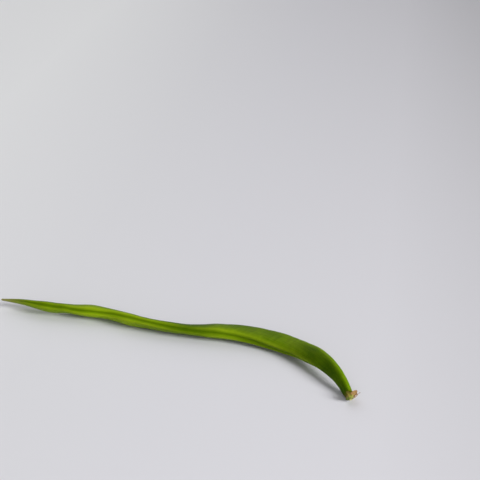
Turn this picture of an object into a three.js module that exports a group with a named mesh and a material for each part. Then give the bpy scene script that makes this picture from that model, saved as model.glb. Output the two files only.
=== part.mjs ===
// A runner bean as picked: one long green pod with its beak, and at the stem end the withered
// remains of the flower round the swollen end of the stalk. It lies on a flat surface, resting on
// its middle and on its stem end, with the beak and the last bend clear of the surface.
//
// Millimetres, +Z up, the surface at Z = 0. The beak is at low X and the stem end at high X.

import * as THREE from 'three';
import { mergeVertices } from 'three/addons/utils/BufferGeometryUtils.js';

// ---------------------------------------------------------------------------------------------
// Driving dimensions
// ---------------------------------------------------------------------------------------------

// The pod's middle line seen from above, from the tip of the beak to the end of the neck.
const PLAN = [
  [1.5, -5.5], [12, -1], [34, 2], [54, 8.6], [75, 13.7], [97, 13.7], [130, 18.6], [156, 26.3],
  [169, 30.4], [181, 31.9], [204.2, 31], [220, 26.4], [236.2, 18.5], [249, 10], [257, 3.8],
  [259.7, 1.2], [260.9, -1.3],
];

// Profiles along the pod, as [distance from the tip of the beak, value].
// Width is from seam to seam, and thickness is through the two flat sides.
const WIDTH = [
  [0, 1.4], [12, 6.1], [22, 9], [33, 10.4], [41, 10.4], [48, 12.2], [56, 13.1], [67, 13.6],
  [80, 12.6], [110, 12.6], [131, 13], [147, 14.1], [163, 14.8], [176, 15.6], [190, 15.1], [204, 14.2],
  [217, 12.5], [234, 12.2], [250, 10], [262, 7.7], [271, 5.8], [273.2, 4.6], [274.2, 3.2],
];
const THICKNESS = [
  [0, 1.2], [12, 3.2], [34, 5.9], [48, 6.5], [67, 7.9], [80, 7.7], [98, 7], [131, 6.8], [147, 7.8],
  [157, 8.7], [172, 9.2], [186, 8.6], [200, 8.5], [212, 7.7], [233, 7.5], [250, 5.8], [262, 4.9],
  [271, 4.2], [273.2, 3.6], [274.2, 2.8],
];
// The twist is the angle of the front seam above level, in degrees. The front seam faces the
// front near the beak, and the pod turns until that seam is underneath at the stem end.
const TWIST = [
  [0, 40], [22, 44], [42, 44], [55, 32], [70, 31], [92, 46], [131, 36], [147, 27], [160, 22],
  [172, 15], [186, 5], [200, -7], [216, -22], [233, -40], [274.2, -68],
];
// The lift is the clear height under the pod.
const LIFT = [
  [0, 7], [12, 3.9], [34, 1.6], [50, 0.7], [64, 0.1], [80, 0], [118, 0], [150, 0], [155, 0],
  [170, 0.3], [184, 0.9], [200, 1.2], [213, 1.7], [225, 2.6], [238, 3.9], [250, 4.3], [258, 3.8],
  [264, 2.3], [268.5, 0.5], [270.8, 0], [272, 0.1], [274.2, 1.4],
];

// Seeds inside push both flat sides out a little.
const SEED_COUNT = 7;
const FIRST_SEED = 35;
const SEED_PITCH = 30.5;
const SEED_SPREAD = 8;
const SEED_SWELL = 0.35;

// The seams run in grooves between rounded shoulders. Depths and spreads are those of a side
// that is HALF_THICK_REF thick, and shrink with the pod towards both ends.
const HALF_THICK_REF = 4;
const FRONT_GROOVE_DEPTH = 0.7;
const BACK_GROOVE_DEPTH = 0.3;
const GROOVE_SPREAD = 0.9;
const SECTION_SQUARENESS = 2.6;

const POD_STEP = 3;
const POD_SIDES = 28;

// The pod's direction is measured over a short step to each side of a place.
const DIRECTION_STEP = 0.5;

// The stem end is set out from the end of the pod, in the direction that the neck has this far
// before its end. Distances are outwards along the stalk.
const NECK_BEFORE_END = 5;

// The stalk was snapped off short. For each millimetre outwards from the pod it rises and goes
// back by this much.
const STALK_RISE = 0.5;
const STALK_BACK = 0.15;
const STALK_PROFILE = [[0.75, 1.1], [1, 1.15], [1.25, 1.3], [1.5, 1.45], [1.9, 1.35], [2.05, 0.9]];
const STALK_SIDES = 14;

// The withered cup of the flower starts round the stalk and runs back over the end of the pod.
// Its blunt lobes stand long and flared on the upper back side, and are worn off on the lower
// front. Between two lobes the flare is less, by the notch share.
const CUP_PROFILE = [[-2.8, 3.8], [-1.6, 3.5], [-0.7, 3.2], [0, 2.85], [0.95, 2.2]];
const CUP_BASE_AT = 0.95;
const CUP_WALL = 0.42;
const CUP_WORN_LENGTH = 0.6;
const CUP_TALL_LENGTH = 1;
const CUP_LOBE_LENGTH = 0.8;
const CUP_LOBES = 5;
const CUP_LOBE_BLUNTNESS = 0.5;
const CUP_FIRST_LOBE = THREE.MathUtils.degToRad(130);
const CUP_TALL_TOWARDS = THREE.MathUtils.degToRad(155);
const CUP_TALL_SHARPNESS = 3;
const CUP_FLARE = 3.4;
const CUP_NOTCH_FLARE = 0.75;
const CUP_STEPS_ROUND = 60;
const CUP_STEPS_ALONG = 5;

// The dry pieces outside the cup: each runs along a path and is widest in its middle.
const FRONT_SCALE = {
  path: [[0.4, 1.3, 3.05], [0.8, 0.9, 3.85], [1.3, -0.6, 4.45], [1.7, -2.5, 3.8]],
  across: [0.9, 0.2, -0.4],
  width: 2.2,
  thick: 0.45,
};
const SIDE_SCALE = {
  path: [[-2.9, 1.2, -0.3], [-4, 1, 0], [-5, 0.6, 0.5], [-5.9, 0.1, 1.1]],
  across: [0, 0.3, 1],
  width: 2.4,
  thick: 0.45,
};
const FILAMENT = {
  path: [[-1.9, 1.3, 1.7], [-3.6, 1.1, 2.7], [-5.6, 0.5, 2.6], [-7.2, 0, 2.2]],
  across: [0, 1, 0],
  width: 0.6,
  thick: 0.6,
};
const DRY_END_TAPER = 0.15;
const DRY_TAPER_FULLNESS = 0.6;
const DRY_SIDES = 8;
const DRY_RINGS = 9;

// Points closer than this are one point.
const MERGE_DISTANCE = 1e-5;

// ---------------------------------------------------------------------------------------------
// Materials
// ---------------------------------------------------------------------------------------------

const finish = (color, roughness) => new THREE.MeshStandardMaterial({ color, roughness, metalness: 0 });

const podSkin = finish(0x66810f, 0.5);
const stalkFlesh = finish(0xaeb254, 0.6);
const witheredCup = finish(0xa5784a, 0.8);
const oliveScale = finish(0x7d6a2c, 0.8);
const tanScale = finish(0xb08a5c, 0.8);
const dryThread = finish(0x9a7468, 0.85);

// ---------------------------------------------------------------------------------------------
// Smooth curves through the listed values
// ---------------------------------------------------------------------------------------------

// A smooth curve through [place, value] knots, without the overshoot of an even spline.
function along(knots, place) {
  const last = knots.length - 1;
  let i = 0;
  while (i < last - 1 && place > knots[i + 1][0]) i += 1;
  const gap = (k) => knots[k + 1][0] - knots[k][0];
  const rise = (k) => (knots[k + 1][1] - knots[k][1]) / gap(k);
  const slope = (k) => {
    if (k === 0) return rise(0);
    if (k === last) return rise(last - 1);
    return (rise(k - 1) * gap(k) + rise(k) * gap(k - 1)) / (gap(k - 1) + gap(k));
  };
  const h = gap(i);
  const u = THREE.MathUtils.clamp((place - knots[i][0]) / h, 0, 1);
  const start = (2 * u ** 3 - 3 * u ** 2 + 1) * knots[i][1] + (u ** 3 - 2 * u ** 2 + u) * h * slope(i);
  const end = (3 * u ** 2 - 2 * u ** 3) * knots[i + 1][1] + (u ** 3 - u ** 2) * h * slope(i + 1);
  return start + end;
}

// The distance from the first plan point to each plan point, along straight lines.
const reach = PLAN.reduce((sums, point, i) => {
  const step = i === 0 ? 0 : Math.hypot(point[0] - PLAN[i - 1][0], point[1] - PLAN[i - 1][1]);
  sums.push((sums[i - 1] ?? 0) + step);
  return sums;
}, []);
const POD_LENGTH = reach[reach.length - 1];
const planX = PLAN.map((point, i) => [reach[i], point[0]]);
const planY = PLAN.map((point, i) => [reach[i], point[1]]);

// ---------------------------------------------------------------------------------------------
// Closed skins
// ---------------------------------------------------------------------------------------------

// A closed skin over rings of points. With ends, the first and last rings are closed by fans.
// Without ends, the last ring joins the first one.
function skin(rings, ends = true) {
  const sides = rings[0].length;
  const positions = rings.flat().flatMap((p) => [p.x, p.y, p.z]);
  const index = [];
  const spans = ends ? rings.length - 1 : rings.length;
  for (let i = 0; i < spans; i += 1) {
    const here = i * sides;
    const next = ((i + 1) % rings.length) * sides;
    for (let j = 0; j < sides; j += 1) {
      const k = (j + 1) % sides;
      index.push(here + j, next + j, next + k, here + j, next + k, here + k);
    }
  }
  const closeEnd = (ring, first, isLast) => {
    const centre = new THREE.Vector3();
    ring.forEach((p) => centre.addScaledVector(p, 1 / sides));
    const hub = positions.length / 3;
    positions.push(centre.x, centre.y, centre.z);
    for (let j = 0; j < sides; j += 1) {
      const k = (j + 1) % sides;
      index.push(hub, first + (isLast ? k : j), first + (isLast ? j : k));
    }
  };
  if (ends) {
    closeEnd(rings[0], 0, false);
    closeEnd(rings.at(-1), (rings.length - 1) * sides, true);
  }
  const geometry = new THREE.BufferGeometry();
  geometry.setAttribute('position', new THREE.Float32BufferAttribute(positions, 3));
  geometry.setIndex(index);
  return mergeVertices(geometry, MERGE_DISTANCE);
}

const piece = (name, geometry, material) => {
  const mesh = new THREE.Mesh(geometry, material);
  mesh.name = name;
  return mesh;
};

// ---------------------------------------------------------------------------------------------
// Pod
// ---------------------------------------------------------------------------------------------

const UP = new THREE.Vector3(0, 0, 1);

// How far the seeds push a flat side out at a distance along the pod.
function seedSwell(distance) {
  let swell = 0;
  for (let i = 0; i < SEED_COUNT; i += 1) {
    const away = (distance - FIRST_SEED - i * SEED_PITCH) / SEED_SPREAD;
    swell += SEED_SWELL * Math.exp(-away * away);
  }
  return swell;
}

// Size, twist and middle of the pod at a distance from the tip of the beak. The height of the
// middle is that of a plain oval, which is near enough to give the pod's direction.
function podStation(distance) {
  const halfWidth = along(WIDTH, distance) / 2;
  const halfThick = along(THICKNESS, distance) / 2 + seedSwell(distance);
  const twist = THREE.MathUtils.degToRad(along(TWIST, distance));
  const halfHeight = Math.hypot(halfWidth * Math.sin(twist), halfThick * Math.cos(twist));
  const lift = along(LIFT, distance);
  const middle = new THREE.Vector3(along(planX, distance), along(planY, distance), lift + halfHeight);
  return { halfWidth, halfThick, twist, lift, middle };
}

// The pod's direction at a distance, and the level and upright directions square to it.
function podAxes(distance) {
  const ahead = podStation(Math.min(distance + DIRECTION_STEP, POD_LENGTH)).middle;
  const behind = podStation(Math.max(distance - DIRECTION_STEP, 0)).middle;
  const onward = ahead.sub(behind).normalize();
  const front = onward.clone().cross(UP).normalize();
  const upright = front.clone().cross(onward);
  return { onward, front, upright };
}

// One cross-section: a rounded lens with a groove along each seam. It is set so that its lowest
// point is at the lift.
function podRing(distance) {
  const { halfWidth, halfThick, twist, lift, middle } = podStation(distance);
  const { front, upright } = podAxes(distance);
  const seam = front.clone().multiplyScalar(Math.cos(twist)).addScaledVector(upright, Math.sin(twist));
  const side = upright.clone().multiplyScalar(Math.cos(twist)).addScaledVector(front, -Math.sin(twist));
  const shrink = halfThick / HALF_THICK_REF;
  const bow = (value) => Math.sign(value) * Math.abs(value) ** (2 / SECTION_SQUARENESS);
  const ring = [];
  for (let j = 0; j < POD_SIDES; j += 1) {
    const angle = (2 * Math.PI * j) / POD_SIDES;
    const across = halfThick * bow(Math.sin(angle));
    const depth = Math.cos(angle) > 0 ? FRONT_GROOVE_DEPTH : BACK_GROOVE_DEPTH;
    const groove = depth * shrink * Math.exp(-((across / (GROOVE_SPREAD * shrink)) ** 2));
    const out = bow(Math.cos(angle));
    const outwards = halfWidth * out - Math.sign(out) * groove;
    ring.push(middle.clone().addScaledVector(seam, outwards).addScaledVector(side, across));
  }
  const settle = lift - Math.min(...ring.map((point) => point.z));
  ring.forEach((point) => point.setZ(point.z + settle));
  return ring;
}

function makePod() {
  const steps = Math.round(POD_LENGTH / POD_STEP);
  const rings = [];
  for (let i = 0; i <= steps; i += 1) rings.push(podRing((POD_LENGTH * i) / steps));
  return piece('pod', skin(rings), podSkin);
}

// ---------------------------------------------------------------------------------------------
// Stem end. Its group has +Y along the neck away from the pod, +X to the front, +Z up.
// ---------------------------------------------------------------------------------------------

// A point round the stalk's line, at a distance outwards.
function roundStalk(at, radius, angle) {
  const outside = Math.max(at, 0);
  const x = radius * Math.cos(angle) - STALK_BACK * outside;
  const z = radius * Math.sin(angle) + STALK_RISE * outside;
  return new THREE.Vector3(x, at, z);
}

// A ring of points round the stalk's line.
function roundRing(at, radius, sides) {
  const ring = [];
  for (let j = 0; j < sides; j += 1) ring.push(roundStalk(at, radius, (2 * Math.PI * j) / sides));
  return ring;
}

function makeStalk() {
  const rings = STALK_PROFILE.map(([at, radius]) => roundRing(at, radius, STALK_SIDES));
  return piece('pedicel_stub', skin(rings), stalkFlesh);
}

// From 0 to 1, highest where the angle is the given one.
const facing = (angle, towards) => 0.5 + 0.5 * Math.cos(angle - towards);

// The withered cup is a thin ring. Each of its loops goes from the base to the rim along the
// outside, and back along the inside.
function makeCup() {
  const loops = [];
  for (let i = 0; i < CUP_STEPS_ROUND; i += 1) {
    const angle = (2 * Math.PI * i) / CUP_STEPS_ROUND;
    const lobe = facing(CUP_LOBES * (angle - CUP_FIRST_LOBE), 0) ** CUP_LOBE_BLUNTNESS;
    const tall = facing(angle, CUP_TALL_TOWARDS) ** CUP_TALL_SHARPNESS;
    const length = CUP_WORN_LENGTH + tall * (CUP_TALL_LENGTH + CUP_LOBE_LENGTH * lobe);
    const flare = CUP_FLARE * tall * THREE.MathUtils.lerp(CUP_NOTCH_FLARE, 1, lobe);
    const wall = (v, depth) => {
      const at = CUP_BASE_AT - length * v;
      const radius = along(CUP_PROFILE, at) + flare * v * v - depth * (1 + tall * v * v);
      return roundStalk(at, radius, angle);
    };
    const loop = [];
    for (let k = 0; k <= CUP_STEPS_ALONG; k += 1) loop.push(wall(k / CUP_STEPS_ALONG, 0));
    for (let k = CUP_STEPS_ALONG; k >= 0; k -= 1) loop.push(wall(k / CUP_STEPS_ALONG, CUP_WALL));
    loops.push(loop);
  }
  return piece('calyx', skin(loops, false), witheredCup);
}

// A dry scale or thread: an oval section swept along a bent path and narrowed at both ends.
// The across direction is the one that its width lies in.
function sweptPiece({ name, path, across, width, thick, material }) {
  const curve = new THREE.CatmullRomCurve3(path.map((point) => new THREE.Vector3(...point)));
  const sideways = new THREE.Vector3(...across);
  const rings = [];
  for (let i = 0; i <= DRY_RINGS; i += 1) {
    const t = i / DRY_RINGS;
    const fullness = Math.sin(Math.PI * t) ** DRY_TAPER_FULLNESS;
    const taper = THREE.MathUtils.lerp(DRY_END_TAPER, 1, fullness);
    const onward = curve.getTangentAt(t);
    const face = sideways.clone().cross(onward).normalize();
    const level = onward.clone().cross(face);
    const ring = [];
    for (let j = 0; j < DRY_SIDES; j += 1) {
      const angle = (2 * Math.PI * j) / DRY_SIDES;
      const alongLevel = (width / 2) * taper * Math.cos(angle);
      const alongFace = (thick / 2) * taper * Math.sin(angle);
      const point = curve.getPointAt(t);
      ring.push(point.addScaledVector(level, alongLevel).addScaledVector(face, alongFace));
    }
    rings.push(ring);
  }
  return piece(name, skin(rings), material);
}

function makeStemEnd() {
  const group = new THREE.Group();
  const { onward, front, upright } = podAxes(POD_LENGTH - NECK_BEFORE_END);
  group.position.copy(podStation(POD_LENGTH).middle);
  group.quaternion.setFromRotationMatrix(new THREE.Matrix4().makeBasis(front, onward, upright));
  group.add(makeStalk(), makeCup());
  group.add(sweptPiece({ name: 'bracteole_front', material: oliveScale, ...FRONT_SCALE }));
  group.add(sweptPiece({ name: 'bracteole_side', material: tanScale, ...SIDE_SCALE }));
  group.add(sweptPiece({ name: 'withered_filament', material: dryThread, ...FILAMENT }));
  return group;
}

// ---------------------------------------------------------------------------------------------
// Whole bean, set down on the surface with the middle of its box over the origin
// ---------------------------------------------------------------------------------------------

const bean = new THREE.Group();
bean.add(makePod(), makeStemEnd());
bean.updateMatrixWorld(true);
const box = new THREE.Box3().setFromObject(bean, true);
bean.position.set(-(box.min.x + box.max.x) / 2, -(box.min.y + box.max.y) / 2, -box.min.z);

export default bean;
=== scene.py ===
# %% [markdown]
# # A runner bean, picked and lying on a table
#
# A runner bean is one long green pod. It tapers to a thin beak at one end. At the other end it
# narrows to a neck, and round the neck are the dry remains of the flower. This lesson builds the
# fine surface of each of these pieces over a plain solid model that is loaded first, and then
# gives each one a finish made only of shader nodes.
#
# The solid model sets every place and size. The pieces made here follow the same few curves, so
# they lie where the solids lie, and each one hides the solid that it stands for.

# %% Load the solid model
import math

import bpy
import numpy as np
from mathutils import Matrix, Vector


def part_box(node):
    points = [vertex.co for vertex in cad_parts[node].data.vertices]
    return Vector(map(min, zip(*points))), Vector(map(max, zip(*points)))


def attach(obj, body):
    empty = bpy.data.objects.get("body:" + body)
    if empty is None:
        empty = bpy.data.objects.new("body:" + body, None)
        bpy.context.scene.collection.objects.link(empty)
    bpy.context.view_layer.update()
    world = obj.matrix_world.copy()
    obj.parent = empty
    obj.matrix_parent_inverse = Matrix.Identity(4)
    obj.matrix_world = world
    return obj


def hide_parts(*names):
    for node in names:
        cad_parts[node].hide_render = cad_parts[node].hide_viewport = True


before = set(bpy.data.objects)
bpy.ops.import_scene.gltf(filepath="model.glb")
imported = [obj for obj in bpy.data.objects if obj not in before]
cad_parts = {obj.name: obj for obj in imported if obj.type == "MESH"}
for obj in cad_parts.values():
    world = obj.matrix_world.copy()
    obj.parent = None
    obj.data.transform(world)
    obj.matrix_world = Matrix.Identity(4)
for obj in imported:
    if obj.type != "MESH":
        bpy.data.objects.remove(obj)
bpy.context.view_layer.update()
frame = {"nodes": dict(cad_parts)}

MM = 0.001
print("solid pieces:", ", ".join(frame["nodes"]))

# %% [markdown]
# ## Camera
#
# The bean is seen from above its front, looking down at 28 degrees with a lens of 75 mm. The
# camera is placed by the point on the table that it aims at, its direction and its distance, so
# each of these can be changed without touching the others. The picture is then slid sideways a
# little, as a shift lens does, so that the whole bean shows.

# %% Camera
AIM = Vector((-14.6, 148.3, 0.0)) * MM
CAMERA_TURN = math.radians(25.3)
CAMERA_HEIGHT_ANGLE = math.radians(28)
CAMERA_DISTANCE = 0.8
LENS_MM = 75
SLIDE_LEFT = 1 / 30
NEAREST_SEEN = 0.01


def set_facing(thing, aim, towards, distance):
    """Put a camera or a lamp at a distance from a point, and turn it to face that point."""
    thing.location = aim + towards * distance
    thing.rotation_euler = (-towards).to_track_quat("-Z", "Y").to_euler()


def place_camera():
    level, rise = math.cos(CAMERA_HEIGHT_ANGLE), math.sin(CAMERA_HEIGHT_ANGLE)
    towards = Vector((math.sin(CAMERA_TURN) * level, -math.cos(CAMERA_TURN) * level, rise))
    data = bpy.data.cameras.new("camera")
    data.lens = LENS_MM
    data.clip_start = NEAREST_SEEN
    data.shift_x = -SLIDE_LEFT
    camera = bpy.data.objects.new("camera", data)
    bpy.context.scene.collection.objects.link(camera)
    set_facing(camera, AIM, towards, CAMERA_DISTANCE)
    bpy.context.scene.camera = camera
    print("camera at", [round(value, 3) for value in camera.location])


place_camera()

# %% [markdown]
# ## The curves that the pod follows
#
# A pod is a long sweep. Its middle line is seen from above, and four profiles say how wide, how
# thick, how twisted and how high it is along that line. Few knots keep each curve smooth. The
# curve through the knots is a cubic whose slope at a knot is a mean of the slopes beside it,
# weighted so that a short step next to a long one doesn't overshoot.

# %% Curves
# Points of the middle line, in millimetres. The other lists pair a distance from the beak with a
# value there: millimetres, and degrees for the twist.
PLAN = [
    (1.5, -5.5), (12, -1), (34, 2), (54, 8.6), (75, 13.7), (97, 13.7), (130, 18.6), (156, 26.3),
    (169, 30.4), (181, 31.9), (204.2, 31), (220, 26.4), (236.2, 18.5), (249, 10), (257, 3.8),
    (259.7, 1.2), (260.9, -1.3),
]
WIDTH = [
    (0, 1.4), (12, 6.1), (22, 9), (33, 10.4), (41, 10.4), (48, 12.2), (56, 13.1), (67, 13.6),
    (80, 12.6), (110, 12.6), (131, 13), (147, 14.1), (163, 14.8), (176, 15.6), (190, 15.1),
    (204, 14.2), (217, 12.5), (234, 12.2), (250, 10), (262, 7.7), (271, 5.8), (273.2, 4.6),
    (274.2, 3.2),
]
THICKNESS = [
    (0, 1.2), (12, 3.2), (34, 5.9), (48, 6.5), (67, 7.9), (80, 7.7), (98, 7), (131, 6.8), (147, 7.8),
    (157, 8.7), (172, 9.2), (186, 8.6), (200, 8.5), (212, 7.7), (233, 7.5), (250, 5.8), (262, 4.9),
    (271, 4.2), (273.2, 3.6), (274.2, 2.8),
]
TWIST = [
    (0, 40), (22, 44), (42, 44), (55, 32), (70, 31), (92, 46), (131, 36), (147, 27), (160, 22),
    (172, 15), (186, 5), (200, -7), (216, -22), (233, -40), (274.2, -68),
]
LIFT = [
    (0, 7), (12, 3.9), (34, 1.6), (50, 0.7), (64, 0.1), (80, 0), (118, 0), (150, 0), (155, 0),
    (170, 0.3), (184, 0.9), (200, 1.2), (213, 1.7), (225, 2.6), (238, 3.9), (250, 4.3), (258, 3.8),
    (264, 2.3), (268.5, 0.5), (270.8, 0), (272, 0.1), (274.2, 1.4),
]


def along(knots, places):
    """The value at each place, on the smooth curve through the knots."""
    x, y = np.array(knots, float).T
    gap = np.diff(x)
    rise = np.diff(y) / gap
    inner = (rise[:-1] * gap[1:] + rise[1:] * gap[:-1]) / (gap[:-1] + gap[1:])
    slope = np.r_[rise[0], inner, rise[-1]]
    i = np.clip(np.searchsorted(x, places) - 1, 0, len(gap) - 1)
    u = np.clip((places - x[i]) / gap[i], 0, 1)
    start = (2 * u**3 - 3 * u**2 + 1) * y[i] + (u**3 - 2 * u**2 + u) * gap[i] * slope[i]
    end = (3 * u**2 - 2 * u**3) * y[i + 1] + (u**3 - u**2) * gap[i] * slope[i + 1]
    return start + end


steps = np.hypot(*np.diff(np.array(PLAN, float), axis=0).T)
REACH = np.r_[0, np.cumsum(steps)]
POD_LENGTH = REACH[-1]
print("length along the pod, seen from above:", round(POD_LENGTH, 1), "mm")

# %% [markdown]
# ## Sizes and directions along the pod
#
# At any distance along the pod, the curves give half its width and thickness, its twist and the
# place of its middle. The seeds push the flat sides out a little, each one by its own amount. The
# pod has three directions of its own there, found from a point just ahead and one just behind.

# %% Sizes and directions
SEED_COUNT = 7
FIRST_SEED = 35
SEED_PITCH = 30.5
SEED_SPREAD = 8
SEED_SWELL = 0.35
NUDGE = 0.5


def unit(vectors):
    return vectors / np.linalg.norm(vectors, axis=-1, keepdims=True)


def bump_at(value, place, spread):
    """A smooth bump: 1 where the value is at the place, and near 0 from two spreads away."""
    return np.exp(-(((value - place) / spread) ** 2))


def seed_humps(distance):
    """One row for each place along the pod, one column for each seed: 1 at its middle."""
    centres = FIRST_SEED + SEED_PITCH * np.arange(SEED_COUNT)
    return bump_at(distance[:, None], centres, SEED_SPREAD)


def pod_stations(distance, seed_sizes=1.0):
    """Half the width and thickness, the twist and the middle of the pod at each distance."""
    half_width = along(WIDTH, distance) / 2
    swell = SEED_SWELL * (seed_humps(distance) * seed_sizes).sum(1)
    half_thick = along(THICKNESS, distance) / 2 + swell
    twist = np.radians(along(TWIST, distance))
    half_height = np.hypot(half_width * np.sin(twist), half_thick * np.cos(twist))
    plan = np.array(PLAN, float)
    centre = np.stack(
        [
            along(list(zip(REACH, plan[:, 0])), distance),
            along(list(zip(REACH, plan[:, 1])), distance),
            along(LIFT, distance) + half_height,
        ],
        1,
    )
    return half_width, half_thick, twist, centre


def pod_axes(distance):
    """Three directions at each distance: onward along the pod, level to the front, and upright."""
    ahead = pod_stations(np.minimum(distance + NUDGE, POD_LENGTH))[3]
    behind = pod_stations(np.maximum(distance - NUDGE, 0))[3]
    onward = unit(ahead - behind)
    front = unit(np.cross(onward, (0, 0, 1)))
    upright = np.cross(front, onward)
    return onward, front, upright


widest = 2 * pod_stations(np.arange(0, POD_LENGTH))[0].max()
thickest = 2 * pod_stations(np.arange(0, POD_LENGTH))[1].max()
print("widest", widest.round(1), "mm, thickest", thickest.round(1), "mm")

# %% [markdown]
# ## The section of the pod
#
# Cut across, a runner bean is a rounded lens with a seam at each narrow edge. Each seam lies in a
# groove between two rounded shoulders, and the front one is deeper. A squared ellipse gives the
# lens, and two soft dips give the grooves. Sampling the same section coarsely gives the plain
# solid, and comparing the two low corners gives the shift from the curves' own zero to the model's.

# %% Section
HALF_THICK_REF = 4
FRONT_GROOVE_DEPTH = 0.7
BACK_GROOVE_DEPTH = 0.3
GROOVE_SPREAD = 0.9
SECTION_SQUARENESS = 2.6
SOLID_STEP = 3
SOLID_SIDES = 28


def bow(value):
    """A cosine or sine turned into the squarer curve of the section."""
    return np.sign(value) * np.abs(value) ** (2 / SECTION_SQUARENESS)


def pod_section(distance, angle, seed_sizes=1.0):
    """Points of the skin, and the straight pod's own coordinates: distance, outwards, across."""
    half_width, half_thick, twist, centre = pod_stations(distance, seed_sizes)
    front, upright = pod_axes(distance)[1:]
    turn = twist[:, None]
    seam = front * np.cos(turn) + upright * np.sin(turn)
    side = upright * np.cos(turn) - front * np.sin(turn)
    shrink = half_thick[:, None] / HALF_THICK_REF
    across = half_thick[:, None] * bow(np.sin(angle))
    depth = np.where(np.cos(angle) > 0, FRONT_GROOVE_DEPTH, BACK_GROOVE_DEPTH)
    groove = depth * shrink * bump_at(across, 0, GROOVE_SPREAD * shrink)
    outwards = half_width[:, None] * bow(np.cos(angle)) - np.sign(np.cos(angle)) * groove
    points = centre[:, None] + outwards[..., None] * seam[:, None]
    points = points + across[..., None] * side[:, None]
    points[..., 2] += (along(LIFT, distance) - points[..., 2].min(1))[:, None]
    straight = np.stack([np.broadcast_to(distance[:, None], across.shape), outwards, across], -1)
    return points, straight, seam, side


solid_rings = round(POD_LENGTH / SOLID_STEP) + 1
solid_angles = np.linspace(0, 2 * math.pi, SOLID_SIDES, endpoint=False)
solid_points = pod_section(np.linspace(0, POD_LENGTH, solid_rings), solid_angles)[0]
SHIFT = np.array(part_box("pod")[0]) / MM - solid_points.reshape(-1, 3).min(0)
print("shift of the curves to the model's zero, mm:", SHIFT.round(2))

# %% [markdown]
# ## Turning rings of points into a mesh
#
# Every piece of the bean is a set of rings: round the pod, round the stalk, or round the edge of a
# dry scale. One helper joins rings into a closed skin. It can close the two ends with a fan, or
# join the last ring to the first one, which the flower cup needs. Named values that the finish
# uses, such as how near a point is to a seam, are stored on the mesh's points.

# %% Mesh helper
def skin_object(name, rings, masks, closed_ends=True):
    """A smooth object from rings of points. The masks are stored on the points by name."""
    count, sides = rings.shape[:2]
    points = rings.reshape(-1, 3)
    here = np.arange(count - 1 if closed_ends else count)[:, None] * sides
    following = (here + sides) % (count * sides)
    j = np.arange(sides)[None]
    k = (j + 1) % sides
    quads = np.stack([here + j, following + j, following + k, here + k], -1).reshape(-1, 4)
    faces = quads.tolist()
    if closed_ends:
        hubs = np.stack([rings[0].mean(0), rings[-1].mean(0)])
        points = np.concatenate([points, hubs])
        last = (count - 1) * sides
        faces += [(count * sides, a, (a + 1) % sides) for a in range(sides)]
        faces += [(count * sides + 1, last + (a + 1) % sides, last + a) for a in range(sides)]
    mesh = bpy.data.meshes.new(name)
    mesh.from_pydata((points + SHIFT) * MM, [], faces)
    mesh.polygons.foreach_set("use_smooth", np.ones(len(mesh.polygons), bool))
    for mask, values in masks.items():
        values = np.asarray(values, np.float32)
        vector = values.ndim == 3
        flat = values.reshape(-1, 3) if vector else values.reshape(-1)
        if closed_ends:
            flat = np.concatenate([flat, flat[:1], flat[-1:]])
        stored = mesh.attributes.new(mask, "FLOAT_VECTOR" if vector else "FLOAT", "POINT")
        stored.data.foreach_set("vector" if vector else "value", flat.ravel())
    piece = bpy.data.objects.new(name, mesh)
    bpy.context.scene.collection.objects.link(piece)
    size = (points.max(0) - points.min(0)).round(1)
    print(name, "has", len(mesh.polygons), "faces and measures", size, "mm")
    return piece


# %% [markdown]
# ## Small unevenness
#
# Nothing that grew is quite even. A random grid that is smoothed between its points gives a gentle
# drift over the skin, with one pitch along the pod and a number of cells round it. Each use names
# its own fixed draw of random numbers, so the bean comes out the same every time.

# %% Drift
SPARE_ROWS = 4


def drift(distance, turns, pitch, cells_round, draw):
    """Smooth random values from -1 to 1 over distance (mm) and turns (0 to 1, joining up)."""
    rows = int(POD_LENGTH / pitch) + SPARE_ROWS
    grid = np.random.default_rng(draw).uniform(-1, 1, (rows, cells_round))
    u = np.asarray(distance) / pitch
    v = np.asarray(turns) * cells_round
    i = np.floor(u).astype(int)
    j = np.floor(v).astype(int)
    ease_u = (u - i) ** 2 * (3 - 2 * (u - i))
    ease_v = (v - j) ** 2 * (3 - 2 * (v - j))

    def at(di, dj):
        return grid[(i + di) % rows, (j + dj) % cells_round]

    low = at(0, 0) * (1 - ease_u) + at(1, 0) * ease_u
    high = at(0, 1) * (1 - ease_u) + at(1, 1) * ease_u
    return low * (1 - ease_v) + high * ease_v


# Unevenness of the skin: height in mm, pitch along the pod in mm, cells round it, and its draw.
UNEVENNESS = [(0.10, 9, 7, 11), (0.05, 3.5, 16, 12), (0.018, 0.9, 40, 13)]
tried = drift(np.arange(0, POD_LENGTH), 0, *UNEVENNESS[0][1:])
print("slowest drift, lowest and highest:", tried.min().round(2), tried.max().round(2))
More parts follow.
